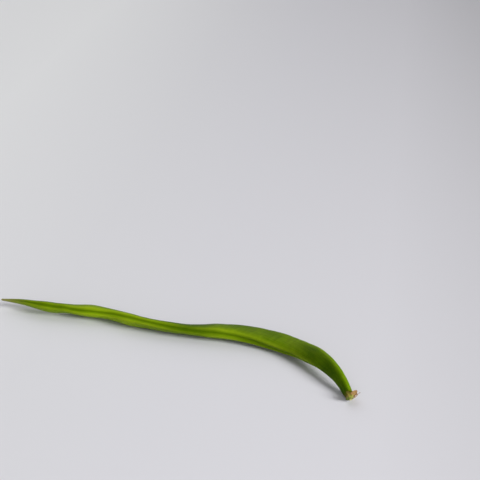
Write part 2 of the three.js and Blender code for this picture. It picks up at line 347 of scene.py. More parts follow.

# %% [markdown]
# ## How light the skin is, with painted shade and light
#
# The green of a pod isn't even. It runs between a deep green and a yellow-green along the pod, and
# it differs from side to side. Four profiles give it, beside the front seam, on the two flat sides
# and beside the back seam, from 0 for the deep green to 1 for the yellow-green. Partly they are the
# pod's own tone, and partly painted shade and light: the dip in the middle paints the shade of
# neighbouring beans, the low front values on the tail paint shade on the face turned from the key
# lamp, and the back kept light there paints the lit strip along the back seam. They are blended
# round the section, and the pod stores the result on its points, where the finish can read it.

# %% Tone and painted shade of the skin
# Painted shade and light are part of these values: the dip in the middle and the low front values on
# the tail paint shade, and the back kept light on the tail paints a lit strip.
FRONT_TONE_AND_SHADE = [
    (0, 0.3), (22, 0.5), (45, 0.36), (62, 0.7), (90, 0.95), (112, 0.55), (128, 0.3), (145, 0.15),
    (165, 0.5), (185, 0.4), (235, 0.4), (255, 0), (274, 0.1),
]
UPPER_TONE_AND_SHADE = [
    (0, 0.2), (24, 0), (36, 0.15), (55, 0.6), (90, 0.15), (145, 0.1), (165, 0.2), (190, 0.15),
    (210, 0.3), (225, 0.15), (240, 0.08), (250, 0), (262, 0), (274, 0.05),
]
LOWER_TONE_AND_SHADE = [
    (0, 0.5), (14, 1), (22, 0.9), (34, 0.6), (45, 0.7), (62, 1), (90, 0.9), (125, 0.35),
    (145, 0.4), (170, 0.3), (274, 0.1),
]
BACK_TONE_AND_SHADE = [(0, 0.3), (215, 0.3), (240, 0.35), (255, 0.32), (274, 0.34)]


def tone_and_shade_over(distance, angle):
    """The four profiles, blended round the section so that each is full at its own side."""
    across, upwards = np.cos(angle), np.sin(angle)
    sides = [
        (FRONT_TONE_AND_SHADE, np.maximum(across, 0)), (UPPER_TONE_AND_SHADE, np.maximum(upwards, 0)),
        (LOWER_TONE_AND_SHADE, np.maximum(-upwards, 0)), (BACK_TONE_AND_SHADE, np.maximum(-across, 0)),
    ]
    return sum(along(profile, distance)[:, None] * share**2 for profile, share in sides)


tried = tone_and_shade_over(np.linspace(0, POD_LENGTH, solid_rings), solid_angles)
print("lightness of the skin, lowest and highest:", tried.min().round(2), tried.max().round(2))

# %% [markdown]
# ## Relief of the skin
#
# Beside the groove of each seam the skin rises in firm shoulders, which fade towards the neck, and
# a shallow valley lies round the front groove. A point's marks say how much of each it has. The
# relief is a push outwards that adds these marks to the drift, softens the grooves a little, and
# shrinks where the pod is thin.

# %% Relief of the skin
SEAM_SHARPNESS = 4
SHOULDER_AT = 2.4
SHOULDER_SPREAD = 0.9
SHOULDER_HEIGHT = 0.12
SHOULDER_END = 262
SHOULDER_FADE = 30
SHOULDER_LEAST = 0.3
GROOVE_SOFTENING = 0.3
VALLEY_SPREAD = 1.9
VALLEY_DEPTH = 0.2
THIN_RELIEF = 0.15


def skin_marks(place, angle, across, shrink):
    """From 0 to 1, how much each point is near a seam, in a groove or valley, or on a shoulder."""
    from_seam = across / shrink
    near_seam = np.abs(np.cos(angle)) ** SEAM_SHARPNESS + 0 * across
    near_front = near_seam * (np.cos(angle) > 0)
    fade = np.clip((SHOULDER_END - place) / SHOULDER_FADE, SHOULDER_LEAST, 1)
    shoulder = near_seam * bump_at(np.abs(from_seam), SHOULDER_AT, SHOULDER_SPREAD)
    return {
        "near_seam": near_seam,
        "groove": near_seam * bump_at(from_seam, 0, GROOVE_SPREAD),
        "valley": near_front * bump_at(from_seam, 0, VALLEY_SPREAD),
        "shoulder": shoulder * fade,
    }


def skin_relief(place, turns, marks, shrink):
    """How far each point of the skin is pushed outwards, in millimetres."""
    push = SHOULDER_HEIGHT * marks["shoulder"] - VALLEY_DEPTH * marks["valley"]
    push = push + GROOVE_SOFTENING * marks["groove"]
    for height, pitch, cells_round, draw in UNEVENNESS:
        push = push + height * drift(place, turns, pitch, cells_round, draw)
    return push * np.clip(shrink, THIN_RELIEF, 1)


# %% [markdown]
# ## The pod
#
# The fine skin has nine hundred rings of ninety-six points, close enough for real relief. It takes
# its points from the section, and pushes them along the section's own outward direction, so the
# skin never folds. What the finish needs to know is stored on the points, with the pod's own
# straight coordinates, which let a pattern run with the growth however the pod bends.

# %% Pod
POD_RINGS = 900
POD_SIDES = 96
SEED_SIZES = (0.6, 1.3)
SEED_SIZES_DRAW = 4
BEAK_FADE = 24
NECK_START = 268
NECK_FADE = 3


def pushed_out(points, push, angle, half_sizes, axes):
    """The points of the section, moved outwards, and kept above the table."""
    half_width, half_thick = (half[:, None] for half in half_sizes)
    outward = unit(np.stack([np.cos(angle) / half_width, np.sin(angle) / half_thick], -1))
    for k, axis in enumerate(axes):
        points = points + (push * outward[..., k])[..., None] * axis[:, None]
    points[..., 2] = np.maximum(points[..., 2], -SHIFT[2])
    return points


def make_pod():
    distance = np.linspace(0, POD_LENGTH, POD_RINGS)
    angle = np.linspace(0, 2 * math.pi, POD_SIDES, endpoint=False)
    seed_sizes = np.random.default_rng(SEED_SIZES_DRAW).uniform(*SEED_SIZES, SEED_COUNT)
    points, straight, seam, side = pod_section(distance, angle, seed_sizes)
    half_sizes = pod_stations(distance, seed_sizes)[:2]
    across = straight[..., 2]
    shrink = half_sizes[1][:, None] / HALF_THICK_REF
    place = distance[:, None] + 0 * across
    turns = angle / (2 * math.pi) + 0 * across
    marks = skin_marks(place, angle, across, shrink)
    push = skin_relief(place, turns, marks, shrink)
    points = pushed_out(points, push, angle, half_sizes, (seam, side))
    flat_side = 1 - marks["near_seam"]
    masks = {
        "straight": straight,
        "groove": marks["groove"] * (np.cos(angle) > 0),
        "valley": marks["valley"],
        "tone_and_shade": tone_and_shade_over(distance, angle),
        "flat_side": flat_side,
        "shoulder": marks["shoulder"],
        "seed": seed_humps(distance).sum(1)[:, None] * flat_side,
        "beak": np.clip(1 - place / BEAK_FADE, 0, 1),
        "neck": np.clip((place - NECK_START) / NECK_FADE, 0, 1),
    }
    return skin_object("bean_pod", points, masks)


pod = make_pod()

# %% [markdown]
# ## Where the stem end sits
#
# The small pieces at the stem end are shaped in a frame of their own: to the front, outwards
# along the neck, and upright. One function moves points from that frame to the end of the pod, so
# each piece can be thought of as if it lay straight on the bench.

# %% Stem end frame
NECK_BEFORE_END = 5
STALK_RISE = 0.5
STALK_BACK = 0.15


def stem_frame():
    """The middle of the stem end, and the directions of its own frame."""
    onward, front, upright = pod_axes(np.array([POD_LENGTH - NECK_BEFORE_END]))
    middle = pod_stations(np.array([POD_LENGTH]))[3]
    return middle[0], np.stack([front[0], onward[0], upright[0]])


STEM_MIDDLE, STEM_AXES = stem_frame()
print("middle of the stem end, mm:", (STEM_MIDDLE + SHIFT).round(1))


def at_stem_end(local):
    return STEM_MIDDLE + local @ STEM_AXES


def round_stalk(outwards, radius, angle):
    """Points round the line of the stalk, which rises and goes back from where it leaves the pod."""
    outside = np.maximum(outwards, 0)
    front = radius * np.cos(angle) - STALK_BACK * outside
    up = radius * np.sin(angle) + STALK_RISE * outside
    return np.stack([front, outwards, up], -1)


# %% [markdown]
# ## Stub of the stalk
#
# The bean was snapped off its stalk, so a short stub is left, swollen at its joint, with a rough
# and slightly hollow broken face. It is one profile turned round the stalk's line. The profile
# goes up the outside, over the rim and into the hollow. Ridges and ragged fibres are wobbles of it:
# a few waves round the ring, each with a random height and start.

# %% Stub of the stalk
# Pairs of how far outwards and how far from the stalk's line, in millimetres.
STALK_PROFILE = [
    (-0.4, 1.2), (0.2, 1.12), (0.7, 1.12), (1.1, 1.25), (1.5, 1.45), (1.85, 1.42), (2.05, 1.22),
    (2.0, 1.0), (1.86, 0.7), (1.8, 0.35), (1.82, 0.04),
]
STALK_RIM_KNOT = 6
STALK_RIM_SPREAD = 0.7
STALK_RINGS = 80
STALK_SIDES = 72
# Counts of waves round the ring, and how high they stand or how deep they tear.
STALK_RIDGES = (6, 10, 15)
STALK_RIDGE_HEIGHT = 0.035
STALK_FIBRES = (9, 17, 26)
STALK_FIBRE_LEAN = 0.4
TORN_FIBRES = 0.10
TORN_RIDGES = 0.08
WOBBLE_LEAST = 0.5


def wobble(angle, waves, draw):
    """Smooth random values round a ring, from about -1 to 1, made of the given wave counts."""
    chance = np.random.default_rng(draw)
    total = 0 * angle
    for count in waves:
        height, start = chance.uniform(WOBBLE_LEAST, 1), chance.uniform(0, 2 * math.pi)
        total = total + height * np.cos(count * angle + start)
    return total / len(waves) ** 0.5


def make_stalk():
    knots = np.arange(len(STALK_PROFILE))
    outwards_knots, radius_knots = np.array(STALK_PROFILE).T
    step = np.linspace(0, knots[-1], STALK_RINGS)[:, None]
    angle = np.linspace(0, 2 * math.pi, STALK_SIDES, endpoint=False)[None]
    broken = np.clip(step - STALK_RIM_KNOT + STALK_RIM_SPREAD, 0, 1)
    outwards = along(list(zip(knots, outwards_knots)), step) + 0 * angle
    radius = along(list(zip(knots, radius_knots)), step) + 0 * angle
    ridges = wobble(angle, STALK_RIDGES, draw=21)
    fibres = wobble(angle + STALK_FIBRE_LEAN * step, STALK_FIBRES, draw=22)
    radius = radius * (1 + STALK_RIDGE_HEIGHT * ridges * (1 - broken))
    # The tears die out towards the middle of the broken face, where the radius falls to nothing.
    torn = TORN_FIBRES * fibres + TORN_RIDGES * ridges
    outwards = outwards + broken * np.minimum(radius, 1) * torn
    local = round_stalk(outwards, radius, angle)
    masks = {
        "growth": np.stack([outwards, radius * np.cos(angle), radius * np.sin(angle)], -1),
        "broken": broken + 0 * angle,
        "rim": bump_at(step, STALK_RIM_KNOT, STALK_RIM_SPREAD) + 0 * angle,
    }
    return skin_object("stalk_stub", at_stem_end(local), masks)


stalk = make_stalk()

# %% [markdown]
# ## Withered flower cup
#
# The green cup that held the flower dries to thin brown paper. It starts green round the stalk and
# runs back over the end of the pod to a rim of five low lobes. On the upper back side the rim
# stands long and spread, and on the lower front it is worn short. The cup is a loop from base to
# rim along the outside and back along the inside, repeated round the stalk, with crumples that
# grow to the rim.

# %% Flower cup
# Pairs as for the stub. The cup follows them from its base back to its rim.
CUP_PROFILE = [(-2.8, 3.8), (-1.6, 3.5), (-0.7, 3.2), (0.0, 2.85), (0.95, 2.15), (1.4, 1.35)]
CUP_BASE_AT = 1.4
CUP_WALL = 0.16
CUP_WORN_LENGTH = 0.95
CUP_TALL_LENGTH = 1.1
CUP_LOBE_LENGTH = 0.4
CUP_LOBES = 5
CUP_LOBE_BLUNTNESS = 0.5
CUP_FIRST_LOBE = math.radians(130)
CUP_TALL_TOWARDS = math.radians(138)
CUP_TALL_SHARPNESS = 2
CUP_FLARE = 3.0
CUP_NOTCH_FLARE = 0.9
CUP_STEPS_ROUND = 260
CUP_STEPS_ALONG = 32
CUP_TEARS = (13, 19, 31, 44)
CUP_TEAR_DEPTH = 0.14
CUP_TEARS_WHERE_WORN = 0.5
CUP_CRUMPLES = (9, 14, 22)
CUP_CRUMPLE_HEIGHT = 0.13
CUP_FINE_CRUMPLES = (29, 41)
CUP_FINE_CRUMPLE_HEIGHT = 0.05
CUP_FINE_CRUMPLE_LEAN = 2
CUP_CRUMPLES_WHERE_WORN = 0.4
# How green the cup is at its base, how fast that fades to the rim, and how much of the fading the
# worn side has. The last value says how soon the worn side, which carries painted shade, ends.
CUP_GREEN_BASE = 1.45
CUP_GREEN_FADE = 2.4
CUP_GREEN_FADE_WHERE_WORN = 0.3
CUP_WORN_END = 2.5


def facing(angle, towards):
    """From 0 to 1, highest where the angle is the given one."""
    return 0.5 + 0.5 * np.cos(angle - towards)


def make_cup():
    angle = np.linspace(0, 2 * math.pi, CUP_STEPS_ROUND, endpoint=False)[:, None]
    to_rim = np.linspace(0, 1, CUP_STEPS_ALONG)
    out_and_back = np.r_[to_rim, to_rim[::-1]][None]
    depth = CUP_WALL * np.repeat([0, 1], CUP_STEPS_ALONG)[None]
    lobe = facing(CUP_LOBES * (angle - CUP_FIRST_LOBE), 0) ** CUP_LOBE_BLUNTNESS
    tall = facing(angle, CUP_TALL_TOWARDS) ** CUP_TALL_SHARPNESS
    length = CUP_WORN_LENGTH + tall * (CUP_TALL_LENGTH + CUP_LOBE_LENGTH * lobe)
    tears = wobble(angle, CUP_TEARS, draw=31)
    length = length + CUP_TEAR_DEPTH * tears * (CUP_TEARS_WHERE_WORN + tall)
    outwards = CUP_BASE_AT - length * out_and_back
    flare = CUP_FLARE * tall * (CUP_NOTCH_FLARE + (1 - CUP_NOTCH_FLARE) * lobe)
    radius = along(CUP_PROFILE, outwards) + flare * out_and_back**2
    leaning = angle + CUP_FINE_CRUMPLE_LEAN * out_and_back
    crumple = CUP_CRUMPLE_HEIGHT * wobble(angle, CUP_CRUMPLES, draw=32)
    crumple = crumple + CUP_FINE_CRUMPLE_HEIGHT * wobble(leaning, CUP_FINE_CRUMPLES, draw=33)
    radius = radius + crumple * out_and_back * (CUP_CRUMPLES_WHERE_WORN + tall) - depth
    local = round_stalk(outwards, radius, angle)
    none = 0 * outwards
    dried = CUP_GREEN_FADE * out_and_back * (CUP_GREEN_FADE_WHERE_WORN + tall)
    masks = {
        "growth": np.stack([outwards, radius * angle, none], -1),
        "rim": none + out_and_back,
        "alive": np.clip(CUP_GREEN_BASE - dried, 0, 1),
        # Where the rim is worn short; the finish paints shade there with a darker green.
        "worn_and_shaded": none + np.clip(1 - CUP_WORN_END * tall, 0, 1),
    }
    return skin_object("flower_cup", at_stem_end(local), masks, closed_ends=False)


cup = make_cup()

# %% [markdown]
# ## Dry scales
#
# Two small leaf-like scales sit outside the cup. Each is a section swept along a bent path, which
# is a few points in the stem end's frame. The section is a thin leaf with a raised midrib and
# edges that curl, and it is widest near its base.

# %% Dry scales
SCALE_RINGS = 70
SCALE_SIDES = 48
SCALE_THICK = 0.13
SCALE_TIP_SHARE = 0.12
SCALE_WIDEST = 0.8
SCALE_BLUNTNESS = 0.7
SCALE_THIN_TIP = 0.3
SCALE_TEARS = (2, 5, 8)
SCALE_TEAR_TURNS = 6
SCALE_TEAR_DEPTH = 0.10
SCALE_RIPPLES = (2, 3, 7)
SCALE_RIPPLE_TURNS = 5
SCALE_RIPPLE_LEAN = 1.5
SCALE_RIPPLE_HEIGHT = 0.07
SCALE_MIDRIB_HEIGHT = 0.10
SCALE_MIDRIB_SPREAD = 0.16
SCALE_RIM_SHARPNESS = 3
SCALE_GREEN_FADE = 2.5
# Points of each path: to the front, outwards and upright.
FRONT_SCALE = [(0.1, 1.25, 2.2), (0.8, 0.9, 3.7), (1.3, -0.6, 4.4), (1.7, -2.5, 3.8)]
SIDE_SCALE = [(-2.1, 1.25, -0.3), (-4.0, 1.0, 0.0), (-5.0, 0.6, 0.5), (-5.9, 0.1, 1.1)]


def bent_line(path, across, count):
    """A smooth line through the path as points and two directions beside it, and its places."""
    path = np.array(path, float)
    across = np.array(across, float)
    reach = np.r_[0, np.cumsum(np.linalg.norm(np.diff(path, axis=0), axis=1))]
    places = np.linspace(0, reach[-1], count)
    middle = np.stack([along(list(zip(reach, path[:, k])), places) for k in range(3)], 1)
    onward = unit(np.gradient(middle, axis=0))
    level = unit(across - (onward @ across)[:, None] * onward)
    return (middle, level, np.cross(level, onward)), places[:, None]


def swept(line, sideways, upwards):
    """Points beside a bent line, moved sideways and upwards from it."""
    middle, level, face = (part[:, None] for part in line)
    return middle + sideways[..., None] * level + upwards[..., None] * face


def make_scale(name, path, across, width, curl, draw):
    line, places = bent_line(path, across, SCALE_RINGS)
    share = places / places[-1]
    angle = np.linspace(0, 2 * math.pi, SCALE_SIDES, endpoint=False)[None]
    none = 0 * share + 0 * angle
    sideways = np.cos(angle)
    leaf = np.sin(math.pi * share**SCALE_WIDEST) ** SCALE_BLUNTNESS
    fullness = SCALE_TIP_SHARE + (1 - SCALE_TIP_SHARE) * leaf
    ragged = 1 + SCALE_TEAR_DEPTH * wobble(SCALE_TEAR_TURNS * share + none, SCALE_TEARS, draw)
    half_width = width / 2 * fullness * ragged
    midrib = SCALE_MIDRIB_HEIGHT * bump_at(sideways, 0, SCALE_MIDRIB_SPREAD)
    leaning = SCALE_RIPPLE_TURNS * share + SCALE_RIPPLE_LEAN * sideways
    ripple = SCALE_RIPPLE_HEIGHT * wobble(leaning, SCALE_RIPPLES, draw + 1)
    lift = SCALE_THICK / 2 * np.sin(angle) * fullness**SCALE_THIN_TIP
    lift = lift + curl * half_width * sideways**2 + (midrib + ripple) * fullness
    masks = {
        "growth": np.stack([places + none, half_width * sideways, lift], -1),
        "rim": np.abs(sideways) ** SCALE_RIM_SHARPNESS + none,
        "alive": np.clip(1 - SCALE_GREEN_FADE * share, 0, 1) + none,
        "worn_and_shaded": none,
    }
    return skin_object(name, at_stem_end(swept(line, half_width * sideways, lift)), masks)


front_scale = make_scale(
    "front_scale", FRONT_SCALE, across=(0.9, 0.2, -0.4), width=2.2, curl=-0.35, draw=41
)
side_scale = make_scale("side_scale", SIDE_SCALE, across=(0, 0.3, 1), width=2.4, curl=0.3, draw=45)

# %% [markdown]
# ## Dry thread
#
# A thread of the flower is still held by the cup. It is swept along a bent path as the scales are,
# but its section is round, and it swells to a small knob near the tip. Two wobbles kink it, one
# sideways and one upwards.

# %% Dry thread
THREAD = [(-1.5, 1.15, 1.5), (-3.6, 1.1, 2.7), (-5.6, 0.5, 2.6), (-7.2, 0.0, 2.2)]
# The radius in mm at shares of the thread's length.
THREAD_RADIUS = [
    (0, 0.24), (0.15, 0.19), (0.5, 0.16), (0.84, 0.15), (0.9, 0.18), (0.96, 0.3), (1, 0.08),
]
THREAD_RINGS = 90
THREAD_SIDES = 20
THREAD_BULGES = (1, 3)
THREAD_BULGE_HEIGHT = 0.12
THREAD_BULGE_TURNS = 3
THREAD_UP_KINKS = (2, 4, 7)
THREAD_UP_KINK_HEIGHT = 0.10
THREAD_SIDE_KINKS = (3, 5)
THREAD_SIDE_KINK_HEIGHT = 0.08
THREAD_KINK_TURNS = 6
THREAD_KNOB_START = 5 / 6
THREAD_KNOB_FADE = 1 / 12


def make_thread():
    line, places = bent_line(THREAD, (0, 1, 0), THREAD_RINGS)
    share = places / places[-1]
    angle = np.linspace(0, 2 * math.pi, THREAD_SIDES, endpoint=False)[None]
    none = 0 * share + 0 * angle
    bulges = wobble(THREAD_BULGE_TURNS * share + angle, THREAD_BULGES, draw=51)
    radius = along(THREAD_RADIUS, share) * (1 + THREAD_BULGE_HEIGHT * bulges)
    turn = THREAD_KINK_TURNS * share
    up_kinks = THREAD_UP_KINK_HEIGHT * wobble(turn, THREAD_UP_KINKS, draw=52)
    side_kinks = THREAD_SIDE_KINK_HEIGHT * wobble(turn, THREAD_SIDE_KINKS, draw=53)
    sideways, upwards = radius * np.cos(angle), radius * np.sin(angle)
    masks = {
        "growth": np.stack([places + none, sideways, upwards], -1),
        "rim": np.clip((share - THREAD_KNOB_START) / THREAD_KNOB_FADE, 0, 1) + none,
        "alive": none,
        "worn_and_shaded": none,
    }
    local = swept(line, sideways + side_kinks, upwards + up_kinks)
    return skin_object("dry_thread", at_stem_end(local), masks)


thread = make_thread()

# %% [markdown]
# ## Helpers for finishes
#
# A finish is a small graph of shader nodes, and a few helpers keep it short to write. They add a
# node and fill its inputs by name, mix two colours by a mask, stretch a value from one range to
# another, multiply or add two values, and read what a piece stored on its points. A last one gives
# the surface its colour, roughness and bump, which every finish of the bean ends with.

# %% Node helpers
def feed(tree, socket, value):
    """Link another node's output to a socket, or set the socket to a plain value."""
    if isinstance(value, bpy.types.NodeSocket):
        tree.links.new(value, socket)
    else:
        socket.default_value = value


def add(tree, kind, settings=None, **inputs):
    node = tree.nodes.new(kind)
    for key, value in (settings or {}).items():
        setattr(node, key, value)
    for key, value in inputs.items():
        feed(tree, node.inputs[key.replace("_", " ")], value)
    return node


def mix(tree, mask, low, high):
    """The colour low where the mask is 0, and high where it is 1."""
    node = add(tree, "ShaderNodeMix", {"data_type": "RGBA"}, Factor=mask)
    for socket, colour in zip(node.inputs[6:8], (low, high)):
        feed(tree, socket, (*colour, 1) if isinstance(colour, tuple) else colour)
    return node.outputs[2]


def scaled(tree, value, from_low, from_high, low, high):
    """The value, held between two limits and stretched from there to two others."""
    limits = {"From_Min": from_low, "From_Max": from_high, "To_Min": low, "To_Max": high}
    return add(tree, "ShaderNodeMapRange", Value=value, **limits).outputs["Result"]


def maths(tree, operation, first, second):
    node = add(tree, "ShaderNodeMath", {"operation": operation})
    for socket, value in zip(node.inputs, (first, second)):
        feed(tree, socket, value)
    return node.outputs[0]


def times(tree, first, second):
    return maths(tree, "MULTIPLY", first, second)


def plus(tree, first, second):
    return maths(tree, "ADD", first, second)


def attribute(tree, name, output="Fac"):
    node = add(tree, "ShaderNodeAttribute", {"attribute_name": name})
    return node.outputs[output]


def new_material(name, **shader):
    material = bpy.data.materials.new(name)
    material.use_nodes = True
    tree = material.node_tree
    skin = tree.nodes["Principled BSDF"]
    for key, value in shader.items():
        skin.inputs[key.replace("_", " ")].default_value = value
    return material, tree, skin


def surface(tree, skin, colour, grain, roughness, height, **bump):
    """Link the colour, let the grain vary the roughness, and make the height into a bump."""
    tree.links.new(colour, skin.inputs["Base Color"])
    tree.links.new(scaled(tree, grain, 0, 1, *roughness), skin.inputs["Roughness"])
    raised = add(tree, "ShaderNodeBump", Height=height, **bump)
    tree.links.new(raised.outputs["Normal"], skin.inputs["Normal"])


# %% [markdown]
# ## Effects that several finishes share
#
# Growth leaves the same marks on every piece. Patches are slow changes of colour, and with them
# goes a much finer grain. Fibres are fine lines that run with the growth. Stipple is the bases of
# very short hairs, close together. Each is built once as a group, and each finish gives it its own
# size.

# %% Shared effects
GRAIN_TO_PATCH = 9.0
PATCH_LIMITS = (0.3, 0.7)
FIBRE_LIMITS = (0.32, 0.68)
DOT_LIMITS = (0.1, 0.5)


def new_group(name, sockets_in, sockets_out):
    """A group with a Vector and the named sizes as inputs, and values from 0 to 1 as outputs."""
    group = bpy.data.node_groups.new(name, "ShaderNodeTree")
    group.interface.new_socket("Vector", in_out="INPUT", socket_type="NodeSocketVector")
    for socket, size in sockets_in.items():
        made = group.interface.new_socket(socket, in_out="INPUT", socket_type="NodeSocketFloat")
        made.default_value = size
    for socket in sockets_out:
        group.interface.new_socket(socket, in_out="OUTPUT", socket_type="NodeSocketFloat")
    source = group.nodes.new("NodeGroupInput").outputs
    sink = group.nodes.new("NodeGroupOutput").inputs
    print("effect", name, "puts out", ", ".join(sockets_out))
    return group, source, sink


def patches_group():
    group, source, sink = new_group("patches", {"Size": 10.0}, ["Patches", "Grain"])
    place = source["Vector"]
    pitch = maths(group, "DIVIDE", 1.0, source["Size"])
    fine_pitch = times(group, pitch, GRAIN_TO_PATCH)
    slow = add(group, "ShaderNodeTexNoise", Vector=place, Scale=pitch, Detail=3.0)
    fine = add(group, "ShaderNodeTexNoise", Vector=place, Scale=fine_pitch, Detail=4.0)
    group.links.new(scaled(group, slow.outputs[0], *PATCH_LIMITS, 0, 1), sink["Patches"])
    group.links.new(scaled(group, fine.outputs[0], *PATCH_LIMITS, 0, 1), sink["Grain"])
    return group


def fibres_group():
    group, source, sink = new_group("fibres", {"Pitch": 1.0, "Length": 12.0}, ["Lines"])
    parts = add(group, "ShaderNodeSeparateXYZ", Vector=source["Vector"]).outputs
    sizes = (source["Length"], source["Pitch"], source["Pitch"])
    x, y, z = (maths(group, "DIVIDE", part, size) for part, size in zip(parts, sizes))
    place = add(group, "ShaderNodeCombineXYZ", X=x, Y=y, Z=z).outputs[0]
    lines = add(group, "ShaderNodeTexNoise", Vector=place, Scale=1.0, Detail=3.0, Distortion=0.4)
    group.links.new(scaled(group, lines.outputs[0], *FIBRE_LIMITS, 0, 1), sink["Lines"])
    return group


def stipple_group():
    group, source, sink = new_group("stipple", {"Spacing": 0.4}, ["Dots"])
    pitch = maths(group, "DIVIDE", 1.0, source["Spacing"])
    dots = add(
        group, "ShaderNodeTexVoronoi", Vector=source["Vector"], Scale=pitch, Randomness=0.9
    )
    group.links.new(scaled(group, dots.outputs["Distance"], *DOT_LIMITS, 1, 0), sink["Dots"])
    return group


PATCHES = patches_group()
FIBRES = fibres_group()
STIPPLE = stipple_group()


def use(tree, group, **inputs):
    return add(tree, "ShaderNodeGroup", {"node_tree": group}, **inputs).outputs


# %% [markdown]
# ## Skin of the pod
#
# The skin runs from a deep green to a fresh yellow green. Which of the two it is changes along the
# pod and from side to side, so the finish reads the tone that the pod stored, which is partly the
# pod's own and partly painted shade and light. The shoulders beside the seams and the seed bulges
# are paler, in streaks, partly as a painted highlight, and the grooves are darkened as painted
# shade.
# The beak dries to brown at its tip, and the last few millimetres of the neck, where the cup sits,
# are a dark olive. Hairs too short to see one by one keep the skin from shining, so its reflection
# is weak and tinted green, and a stipple in the bump roughens it.

# %% Pod skin
DEEP_GREEN = (0.019, 0.072, 0.000)
FRESH_GREEN = (0.246, 0.414, 0.000)
# Pale green of shoulders, seed bulges, streaks and hair bases; its paleness and touch of blue are
# partly a painted highlight.
PALE_GREEN_AND_HIGHLIGHT = (0.395, 0.500, 0.020)
# Painted shade in the grooves and in the valley round the front groove.
GROOVE_SHADE_GREEN = (0.055, 0.115, 0.000)
VEIN_GREEN = (0.060, 0.110, 0.000)
BEAK_BROWN = (0.260, 0.225, 0.080)
NECK_OLIVE = (0.140, 0.120, 0.006)
REFLECTION_TINT = (0.85, 1.0, 0.06, 1)
VEIN_SLANT = math.radians(68)
# How far patches and speckles shift the lightness.
PATCH_SHIFT = 0.09
SPECKLE_SHIFT = 0.05
# Streaks and shoulders show more on light skin, and their paleness is partly a painted highlight.
# They have the first share in the deepest green, and the second where the tone reaches this value.
FULL_AT_TONE_AND_SHADE = 0.6
STREAK_SHARES = (0.08, 0.32)
SHOULDER_SHARES = (0.08, 0.6)
# The share of its own colour that each other mark has where it is strongest.
VEIN_SHARE = 0.5
SEED_SHARE = 0.3
# Painted shade: how far the valley and the groove are darkened towards the groove green.
VALLEY_SHADE_SHARE = 0.25
GROOVE_SHADE_SHARE = 0.65
HAIR_SHARE = 0.08
NECK_SHARE = 0.8
BEAK_SHARE = 0.95
# How sharply the ends' own colours begin, and the heights of hairs and fibres in the bump.
NECK_POWER = 2.0
BEAK_POWER = 1.6
HAIR_HEIGHT = 0.5
FIBRE_HEIGHT = 0.8
SKIN_ROUGHNESS = (0.40, 0.58)


def pod_colour(tree, straight, patches, fibres, stipple, veined):
    light = attribute(tree, "tone_and_shade")
    speckle = use(tree, PATCHES, Vector=straight, Size=4.0)
    shift = scaled(tree, patches["Patches"], 0, 1, -PATCH_SHIFT, PATCH_SHIFT)
    fine_shift = scaled(tree, speckle["Patches"], 0, 1, -SPECKLE_SHIFT, SPECKLE_SHIFT)
    tone_and_shade = plus(tree, plus(tree, light, shift), fine_shift)
    # The stored tone is partly painted shade and light, so this mix paints them too.
    colour = mix(tree, tone_and_shade, DEEP_GREEN, FRESH_GREEN)
    share = scaled(tree, light, 0, FULL_AT_TONE_AND_SHADE, *STREAK_SHARES)
    # Pale streaks, partly a painted highlight.
    colour = mix(tree, times(tree, fibres["Lines"], share), colour, PALE_GREEN_AND_HIGHLIGHT)
    colour = mix(tree, scaled(tree, veined, 0, 1, 0, VEIN_SHARE), colour, VEIN_GREEN)
    over_seed = times(tree, attribute(tree, "seed"), SEED_SHARE)
    raised = plus(tree, attribute(tree, "shoulder"), over_seed)
    share = scaled(tree, light, 0, FULL_AT_TONE_AND_SHADE, *SHOULDER_SHARES)
    # Shoulders and seed bulges made paler, partly a painted highlight.
    colour = mix(tree, times(tree, raised, share), colour, PALE_GREEN_AND_HIGHLIGHT)
    # Painted shade in the valley and the groove.
    for name, share in (("valley", VALLEY_SHADE_SHARE), ("groove", GROOVE_SHADE_SHARE)):
        colour = mix(tree, times(tree, attribute(tree, name), share), colour, GROOVE_SHADE_GREEN)
    colour = mix(tree, scaled(tree, stipple["Dots"], 0, 1, 0, HAIR_SHARE), colour, PALE_GREEN_AND_HIGHLIGHT)
    for name, power, share, end_colour in (
        ("neck", NECK_POWER, NECK_SHARE, NECK_OLIVE),
        ("beak", BEAK_POWER, BEAK_SHARE, BEAK_BROWN),
    ):
        mask = maths(tree, "POWER", attribute(tree, name), power)
        colour = mix(tree, times(tree, mask, share), colour, end_colour)
    return colour


def pod_finish():
    material, tree, skin = new_material(
        "pod_skin",
        Specular_IOR_Level=0.1,
        Specular_Tint=REFLECTION_TINT,
        Subsurface_Weight=0.08,
        Subsurface_Radius=(0.6, 1.0, 0.15),
        Subsurface_Scale=0.0012,
    )
    straight = attribute(tree, "straight", "Vector")
    turned = {"rotation_type": "Z_AXIS"}
    slanted = add(tree, "ShaderNodeVectorRotate", turned, Vector=straight, Angle=VEIN_SLANT)
    patches = use(tree, PATCHES, Vector=straight, Size=14.0)
    fibres = use(tree, FIBRES, Vector=straight, Pitch=0.7, Length=16.0)
    stipple = use(tree, STIPPLE, Vector=straight, Spacing=0.38)
    veins = use(tree, FIBRES, Vector=slanted.outputs[0], Pitch=1.5, Length=9.0)
    veined = times(tree, attribute(tree, "flat_side"), veins["Lines"])
    colour = pod_colour(tree, straight, patches, fibres, stipple, veined)
    hairs = times(tree, stipple["Dots"], HAIR_HEIGHT)
    height = plus(tree, hairs, times(tree, fibres["Lines"], FIBRE_HEIGHT))
    height = plus(tree, height, veined)
    grain = patches["Grain"]
    surface(tree, skin, colour, grain, SKIN_ROUGHNESS, height, Strength=0.35, Distance=0.00008)
    print("the pod's finish has", len(tree.nodes), "nodes")
    return material


pod.data.materials.append(pod_finish())
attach(pod, "root")
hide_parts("pod")

# %% [markdown]
# ## Finish of the stub
#
# The stub is still fresh. It is a yellow-green with paler fibres, and it browns at the rim. The
# broken face is a dull straw colour where the grain is strong.

